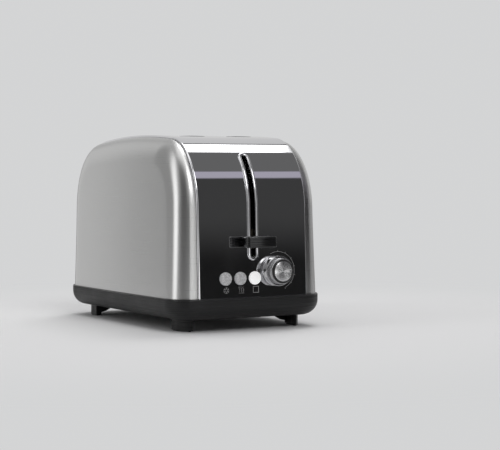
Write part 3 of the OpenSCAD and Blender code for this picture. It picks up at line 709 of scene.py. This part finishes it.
lever_lo, lever_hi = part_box("lever_knob")
LEVER_BOW = 45 * MM
LEVER_GAP = 13 * MM         # the broad part ends this far in front of the panel
LEVER_END = 4.2 * MM        # round of its two ends
lever_panel = front_at(LEVER_Z)[0]


def lever_outline(inset):
    """The lever seen from above: straight back, rounded ends and a bowed front."""
    half = (lever_hi.x - lever_lo.x) / 2 - inset
    back = lever_panel - LEVER_GAP - inset
    nose = lever_lo.y + inset
    r = LEVER_END - inset
    side_nose = nose + LEVER_BOW - math.sqrt(LEVER_BOW ** 2 - (half - r) ** 2)
    points = [(x, nose + LEVER_BOW - math.sqrt(LEVER_BOW ** 2 - x ** 2))
              for x in np.linspace(-(half - r), half - r, 41)]
    points += arc((half - r, side_nose + r), r, -80, 0, 10)
    points += arc((half - r, back - r), r, 0, 90, 10)
    points += arc((-(half - r), back - r), r, 90, 180, 10)
    points += arc((-(half - r), side_nose + r), r, 180, 260, 10)
    return points


def thumb_lever():
    low, high = lever_lo.z, lever_hi.z
    r = 1.3 * MM
    groove, deep = 0.35 * MM, 0.55 * MM
    levels = [(r - r * math.sin(a), low + r - r * math.cos(a)) for a in np.linspace(0, math.pi / 2, 7)]
    for k in (-1, 0, 1):
        z = LEVER_Z + 2.4 * MM * k
        levels += [(0, z - groove), (deep, z - groove / 3), (deep, z + groove / 3), (0, z + groove)]
    levels += [(r - r * math.cos(a), high - r + r * math.sin(a)) for a in np.linspace(0, math.pi / 2, 7)]
    points = [(x, y, z) for inset, z in levels for x, y in lever_outline(inset)]
    count = len(lever_outline(0))
    faces = grid_faces(len(levels), count, wrap_columns=True)
    faces += [tuple(range(count)), tuple(range(len(points) - count, len(points)))]
    made = crease(new_piece("thumb_lever", points, faces, "black_gloss", "carriage"), 30)
    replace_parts(made, "lever_knob")
    hub = rounded_rect((-4 * MM, LEVER_Z - 4.5 * MM), (4 * MM, LEVER_Z + 4.5 * MM), 1.5 * MM)
    hub_points = [(x, y, z) for y in (lever_panel - LEVER_GAP - 1 * MM, lever_panel - 2 * MM) for x, z in hub]
    hub_faces = grid_faces(2, len(hub), wrap_columns=True)
    hub_faces += [tuple(range(len(hub))), tuple(range(len(hub), 2 * len(hub)))]
    crease(new_piece("thumb_lever_hub", hub_points, hub_faces, "black_gloss", "carriage"))


thumb_lever()


# ---------------------------------------------------------------- buttons and knob

def push_button(name, node, material, body):
    lo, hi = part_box(node)
    middle = (lo + hi) / 2
    face = lo.y
    profile = [(0.02 * MM, face), (3 * MM, face + 0.05 * MM), (5.4 * MM, face + 0.16 * MM)]
    profile += [(BUTTON_R - 0.7 * MM + u, face + 0.9 * MM - v) for u, v in arc((0, 0), 0.7 * MM, 90, 0, 8)]
    flange, rear = BUTTON_R + 0.7 * MM, face + 7 * MM
    profile += [(BUTTON_R, rear - 1.2 * MM), (flange, rear - 1.2 * MM), (flange, rear), (2 * MM, rear),
                (2 * MM, hi.y)]
    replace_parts(lathe_y(name, profile, middle.x, middle.z, material, body), node)


for node, material, body in zip(BUTTON_NODES, ("button_silver", "button_silver", "button_white"),
                                ("defrost", "reheat", "cancel")):
    push_button("push_" + body, node, material, body)


FLUTES = 72
FLUTE_DEPTH = 0.25 * MM
KNOB_STEP = 8.5 * MM        # length of the knob's widest stretch


def knob_grip(x, z, radius, near, far):
    """The knob's grip: fine ribs along its axis, with rounded ends."""
    steps = FLUTES * 6
    points = []
    rings = [(0.9 * MM, near), (0.45 * MM, near + 0.25 * MM), (0.3 * MM, near + 0.8 * MM),
             (0.0, far - 0.5 * MM), (0.4 * MM, far)]
    for inset, y in rings:
        for k in range(steps):
            a = TAU * k / steps
            r = radius - inset - FLUTE_DEPTH * (1 - math.cos(a * FLUTES)) / 2
            points.append((x + r * math.sin(a), y, z + r * math.cos(a)))
    faces = grid_faces(len(rings), steps, wrap_columns=True)
    faces += [tuple(range(steps)), tuple(range(len(points) - steps, len(points)))]
    crease(new_piece("knob_grip", points, faces, "knob_chrome", "browning_knob"), 50)


def browning_knob():
    x, z = knob_mid.x, knob_mid.z
    lo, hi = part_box("knob_barrel")
    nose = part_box("knob_core")[0].y
    skirt_r = (hi.x - lo.x) / 2
    cap_r = (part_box("knob_cap")[1].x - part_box("knob_cap")[0].x) / 2
    grip_r, ring_r, core_r = skirt_r - 1.8 * MM, skirt_r - 3 * MM, skirt_r - 4 * MM
    skirt_y = hi.y - KNOB_STEP
    round_r, groove = 0.8 * MM, 0.4 * MM
    groove_y = hi.y - 3.2 * MM
    skirt = [(core_r, skirt_y + 0.1 * MM)]
    skirt += [(skirt_r - round_r + u, skirt_y + round_r - v) for u, v in arc((0, 0), round_r, 90, 0, 8)]
    skirt += [(skirt_r, groove_y - groove), (skirt_r - groove, groove_y - groove / 3),
              (skirt_r - groove, groove_y + groove / 3), (skirt_r, groove_y + groove),
              (skirt_r, hi.y - 0.5 * MM), (skirt_r - 0.5 * MM, hi.y), (core_r, hi.y)]
    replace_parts(lathe_y("knob_skirt", skirt, x, z, "knob_chrome", "browning_knob"), "knob_barrel")
    knob_grip(x, z, grip_r, lo.y, skirt_y + 0.2 * MM)
    round_r = 0.9 * MM
    ring = [(cap_r - 0.4 * MM, nose + 1.0 * MM), (cap_r + 0.15 * MM, nose + 0.25 * MM)]
    ring += [(ring_r - round_r + u, nose + round_r - v) for u, v in arc((0, 0), round_r, 90, 0, 8)]
    ring += [(ring_r, lo.y + 0.1 * MM), (core_r, lo.y + 0.6 * MM)]
    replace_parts(lathe_y("knob_ring", ring, x, z, "black_gloss", "browning_knob"), "knob_core")
    cap = [(0.02 * MM, nose + 0.1 * MM), (cap_r * 0.5, nose), (cap_r - 0.5 * MM, nose - 0.1 * MM),
           (cap_r - 0.15 * MM, nose), (cap_r, nose + 0.2 * MM), (cap_r, nose + 1.1 * MM)]
    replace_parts(lathe_y("knob_disc", cap, x, z, "spun_steel", "browning_knob"), "knob_cap")


browning_knob()


# ---------------------------------------------------------------- printed marks on the band

def printed(name, lines, width=0.32 * MM, lift=0.06 * MM):
    """Thin flat strokes on the front; each line is a list of (x, z) points."""
    points, faces = [], []
    for line in lines:
        closed = len(line) > 2 and (Vector(line[0]) - Vector(line[-1])).length < 1e-6
        line = line[:-1] if closed else line
        n = len(line)
        first = len(points)
        for i, at in enumerate(line):
            before = line[i - 1] if i > 0 or closed else at
            after = line[(i + 1) % n] if i < n - 1 or closed else at
            along = (Vector(after) - Vector(before)).normalized()
            side = Vector((-along.y, along.x)) * width / 2
            for s in (-1, 1):
                x, z = at[0] + s * side.x, at[1] + s * side.y
                points.append((x, front_at(z)[0] - lift, z))
        for i in range(n if closed else n - 1):
            a, b = first + 2 * i, first + 2 * ((i + 1) % n)
            faces.append((a, b, b + 1, a + 1))
    new_piece(name, points, faces, "print_grey")


ICON_Z = centre_of("defrost_button").z - 11.3 * MM
ICON = 3.0 * MM


def defrost_icon():
    """An open snowflake: a hexagon with six forked arms."""
    x = centre_of("defrost_button").x + 0.6 * MM

    def at(radius, angle):
        return x + ICON * radius * math.cos(angle), ICON_Z + ICON * radius * math.sin(angle)

    angles = [TAU * k / 6 + TAU / 12 for k in range(7)]
    lines = []
    for a in angles[:6]:
        lines.append([at(0.5, a), at(1.1, a)])
        for turn in (-0.4, 0.4):
            lines.append([at(0.75, a), at(1.0, a + turn)])
    lines.append([at(0.5, a) for a in angles])
    printed("defrost_icon", lines)


def reheat_icon():
    x = centre_of("reheat_button").x + 0.9 * MM
    lines = []
    for k in (-1, 0, 1):
        lines.append([(x + k * 2.2 * MM + 0.5 * MM * math.sin(TAU * t), ICON_Z - 1.8 * MM + 5.4 * MM * t)
                      for t in np.linspace(0, 1, 15)])
    lines.append([(x - ICON, ICON_Z - ICON), (x + ICON, ICON_Z - ICON)])
    printed("reheat_icon", lines)


def cancel_icon():
    x = centre_of("cancel_button").x + 0.9 * MM
    square = [(x - ICON, ICON_Z - ICON), (x + ICON, ICON_Z - ICON), (x + ICON, ICON_Z + ICON),
              (x - ICON, ICON_Z + ICON), (x - ICON, ICON_Z - ICON)]
    printed("cancel_icon", [[a, b] for a, b in zip(square, square[1:])], 0.4 * MM)


def browning_scale():
    """A thin arc past the knob, further from it towards the highest setting, with a tick for each step."""
    middle = (knob_mid.x + 3.6 * MM, knob_mid.z)
    radius = 18.8 * MM
    lines = [arc(middle, radius, -66, 118, 64)]
    for k in range(7):
        a = math.radians(-66 + 26 * k)
        ray = (math.cos(a), math.sin(a))
        lines.append([(middle[0] + r * ray[0], middle[1] + r * ray[1]) for r in (radius, radius + 1.5 * MM)])
    printed("browning_scale", lines, 0.26 * MM)


defrost_icon()
reheat_icon()
cancel_icon()
browning_scale()


# ---------------------------------------------------------------- return spring

def return_spring():
    lo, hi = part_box("return_spring")
    x, y = (lo.x + hi.x) / 2, (lo.y + hi.y) / 2
    radius, wire, turns, steps, sides = 3.2 * MM, 0.45 * MM, 18, 28, 10
    points = []
    for i in range(turns * steps + 1):
        a = TAU * i / steps
        z = lo.z + wire + (hi.z - lo.z - 2 * wire) * i / (turns * steps)
        out = Vector((math.cos(a), math.sin(a), 0))
        for k in range(sides):
            b = TAU * k / sides
            rise = Vector((0, 0, wire * math.sin(b)))
            points.append(Vector((x, y, z)) + out * (radius + wire * math.cos(b)) + rise)
    faces = grid_faces(turns * steps + 1, sides, wrap_columns=True)
    faces += [tuple(range(sides)), tuple(range(len(points) - sides, len(points)))]
    made = new_piece("spring_coil", points, faces, "steel_wire", body=None)
    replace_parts(made, "return_spring")
    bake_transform(made)


return_spring()


# ---------------------------------------------------------------- floor and light

BACKDROP = rgb(0.655, 0.660, 0.665)


def studio_floor():
    """A plain pale disc that fades into the backdrop. Reflections see the studio beyond its middle."""
    bpy.ops.mesh.primitive_circle_add(vertices=128, radius=1.6, fill_type="NGON")
    floor = bpy.context.object
    floor.name = "floor"
    made = bpy.data.materials.new("floor")
    made.use_nodes = True
    graph = Graph(made.node_tree)
    where = graph.node("ShaderNodeTexCoord")
    length = graph.node("ShaderNodeVectorMath", operation="LENGTH")
    graph.put(length.inputs[0], where.outputs["Object"])
    far = length.outputs["Value"]
    pale = graph.node("ShaderNodeBsdfDiffuse")
    pale.inputs["Color"].default_value = rgb(0.86, 0.86, 0.865)
    away = graph.node("ShaderNodeEmission")
    away.inputs["Color"].default_value = BACKDROP
    clear = graph.node("ShaderNodeBsdfTransparent")
    fade = graph.node("ShaderNodeMixShader")
    graph.put(fade.inputs[0], graph.ramp(far, 0.22, 0.62))
    graph.put(fade.inputs[1], pale.outputs[0])
    graph.put(fade.inputs[2], away.outputs[0])
    ray = graph.node("ShaderNodeLightPath")
    beyond = graph.math("MULTIPLY", ray.outputs["Is Glossy Ray"], graph.ramp(far, 0.30, 0.36))
    output = graph.node("ShaderNodeMixShader")
    graph.put(output.inputs[0], beyond)
    graph.put(output.inputs[1], fade.outputs[0])
    graph.put(output.inputs[2], clear.outputs[0])
    end = graph.node("ShaderNodeOutputMaterial")
    graph.put(end.inputs[0], output.outputs[0])
    floor.data.materials.append(made)


# Soft boxes and flags: azimuth from -Y towards +X, elevation, and softness of the edge, all in degrees.
LEFT_WALL = ((-200, -112), (-40, 75), 3.0)
DIM_CORNER = ((-76, -36), (-60, 60), 9.0)
FRONT_BOX = ((-30, 23), (-9, 50), 3.0)
LOW_FLAG = ((-37, -22), (-14, 8), 2.0)
HIGH_LAMP = ((-16, 12), (26, 52), 4.0)
RIGHT_FLAG = ((25, 75), (-60, 60), 1.0)
LEFT_LAMP = ((-108, -89), (-25, 55), 5.0)

# Stripes across the right half, seen in the band: angle up and over from the front, and softness, in degrees.
LAVENDER_STRIPE = (42.6, 53.6, 1.5)
DARK_STRIPE = (53.6, 93, 1.0)
LAMP_STRIPE = (94.5, 117, 1.5)
THIN_STRIPE = (117.5, 122, 1.0)
REAR_STRIPE = (122.5, 178, 1.0)


def studio_light():
    """A soft studio as the world: a pale room with soft boxes, and dark flags that give metal its shape."""
    world = bpy.data.worlds.new("studio")
    bpy.context.scene.world = world
    world.use_nodes = True
    graph = Graph(world.node_tree)
    where = graph.node("ShaderNodeTexCoord")
    parts = graph.node("ShaderNodeSeparateXYZ")
    graph.put(parts.inputs[0], where.outputs["Generated"])
    x, y, z = parts.outputs
    front = graph.math("MULTIPLY", y, -1.0)
    to_degrees = 360 / TAU
    azimuth = graph.math("MULTIPLY", graph.math("ARCTAN2", x, front), to_degrees)
    height = graph.math("MULTIPLY", graph.math("ARCSINE", z), to_degrees)
    over = graph.math("MULTIPLY", graph.math("ARCTAN2", z, front), to_degrees)
    right = graph.ramp(x, 0.10, 0.30)

    room = graph.mix(graph.ramp(height, -12, 8), grey(0.10), grey(0.48))
    room = graph.mix(graph.ramp(height, 50, 75), room, grey(1.3))

    def add(mask, tone):
        nonlocal room
        room = graph.mix(mask, room, tone)

    def patch(az, el, soft):
        return graph.math("MULTIPLY", graph.window(azimuth, az[0], az[1], soft),
                          graph.window(height, el[0], el[1], soft))

    def stripe(low, high, soft):
        return graph.math("MULTIPLY", right, graph.window(over, low, high, soft))

    side = graph.mix(graph.ramp(azimuth, -158.5, -153.6), grey(0.69), grey(0.355))
    near = graph.mix(graph.ramp(height, -1.2, 1.2), grey(1.5), grey(0.45))
    dark = graph.mix(graph.ramp(height, -0.8, 1.3), grey(0.010), grey(0.050))
    add(patch(*LEFT_WALL), side)
    add(patch(*DIM_CORNER), grey(0.11))
    add(patch(*FRONT_BOX), near)
    add(patch(*LOW_FLAG), grey(0.06))
    add(patch(*HIGH_LAMP), grey(4.0))
    add(patch(*RIGHT_FLAG), dark)
    add(patch(*LEFT_LAMP), grey(1.6))
    add(stripe(*LAVENDER_STRIPE), rgb(0.42, 0.40, 0.47))
    add(stripe(*DARK_STRIPE), grey(0.14))
    overhead = graph.math("MULTIPLY", stripe(*LAMP_STRIPE), graph.ramp(x, 0.500, 0.506, 1.0, 0.0))
    add(overhead, grey(5.0))
    add(stripe(*THIN_STRIPE), grey(0.2))
    add(stripe(*REAR_STRIPE), grey(0.62))

    ray = graph.node("ShaderNodeLightPath")
    shown = graph.mix(ray.outputs["Is Camera Ray"], room, BACKDROP)
    background = graph.node("ShaderNodeBackground")
    graph.put(background.inputs["Color"], shown)
    end = graph.node("ShaderNodeOutputWorld")
    graph.put(end.inputs[0], background.outputs[0])


studio_floor()
studio_light()
